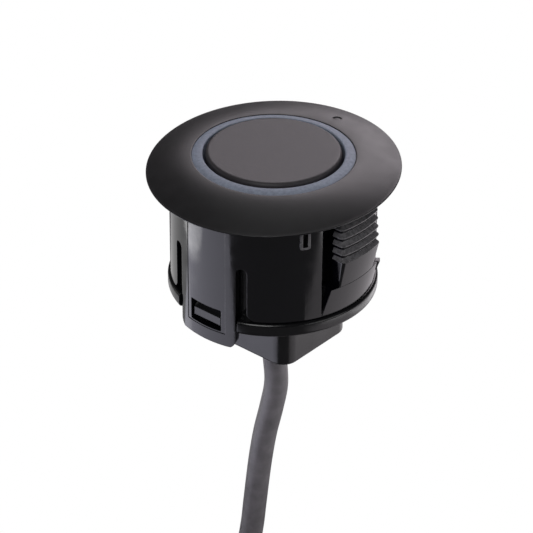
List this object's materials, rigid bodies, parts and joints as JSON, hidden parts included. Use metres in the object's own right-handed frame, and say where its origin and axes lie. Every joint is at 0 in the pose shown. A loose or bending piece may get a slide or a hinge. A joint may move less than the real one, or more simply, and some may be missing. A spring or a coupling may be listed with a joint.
{
  "type": "parking sensor",
  "caption": "Flush-mount ultrasonic parking sensor with a black snap-in angled bezel, latch arms, serrated grip fingers, a grey silicone ring and a tied lead ending in a plug.",
  "frame": {"origin": "where the sensor's axis crosses the plane of the bezel flange that sits on the bumper", "axes": "+Z out of the sensing face along the sensor's axis; +Y towards the thicker-looking upper side of the angled bezel, which has the index dimple; -Y is the latch arm seen in the picture; +X the serrated finger seen in the picture"},
  "size_m": [0.075, 0.0658, 0.0869],
  "materials": {
    "bezel_plastic": "satin black moulding",
    "cup_paint": "fine matt charcoal paint on the drawn cup",
    "silicone": "matt slate grey silicone",
    "housing_plastic": "glossy black moulding",
    "piezo_ceramic": null,
    "foam": "dark damping foam",
    "potting": "cured potting compound",
    "copper": null,
    "board": "green solder mask",
    "ferrite": "sintered ferrite",
    "chip_plastic": "black encapsulant",
    "capacitor_ceramic": "tan ceramic",
    "capacitor_can": "drawn can",
    "tin": "tinned pin",
    "wire_red": "insulated core",
    "wire_white": "insulated core",
    "wire_dark": "insulated core",
    "grommet_rubber": "moulded rubber",
    "lead_jacket": "satin dark grey jacket",
    "tie_plastic": "black nylon",
    "plug_plastic": "dark grey moulding",
    "seal_rubber": "blue wire seal",
    "terminal_brass": "stamped contact"
  },
  "bodies": {
    "root": {"bezel": "bezel_plastic", "transducer_cup": "cup_paint", "decoupling_ring": "silicone", "sensor_housing": "housing_plastic", "piezo_disc": "piezo_ceramic", "damping_pad": "foam", "cup_backfill": "potting", "piezo_lead_a": "copper", "piezo_lead_b": "copper", "circuit_board": "board", "transformer_core": "ferrite", "transformer_winding": "copper", "control_chip": "chip_plastic", "ceramic_capacitor_1": "capacitor_ceramic", "ceramic_capacitor_2": "capacitor_ceramic", "resistor_1": "chip_plastic", "resistor_2": "chip_plastic", "resistor_3": "chip_plastic", "electrolytic_capacitor": "capacitor_can", "terminal_pin_1": "tin", "terminal_pin_2": "tin", "terminal_pin_3": "tin", "core_wire_1": "wire_red", "core_wire_2": "wire_white", "core_wire_3": "wire_dark", "rear_potting": "potting", "cable_grommet": "grommet_rubber", "sensor_lead": "lead_jacket", "lead_coil": "lead_jacket", "lead_tail": "lead_jacket", "coil_tie": "tie_plastic", "plug_housing": "plug_plastic", "plug_seal": "seal_rubber", "plug_terminal_1": "terminal_brass", "plug_terminal_2": "terminal_brass", "plug_terminal_3": "terminal_brass"}
  },
  "joints": []
}
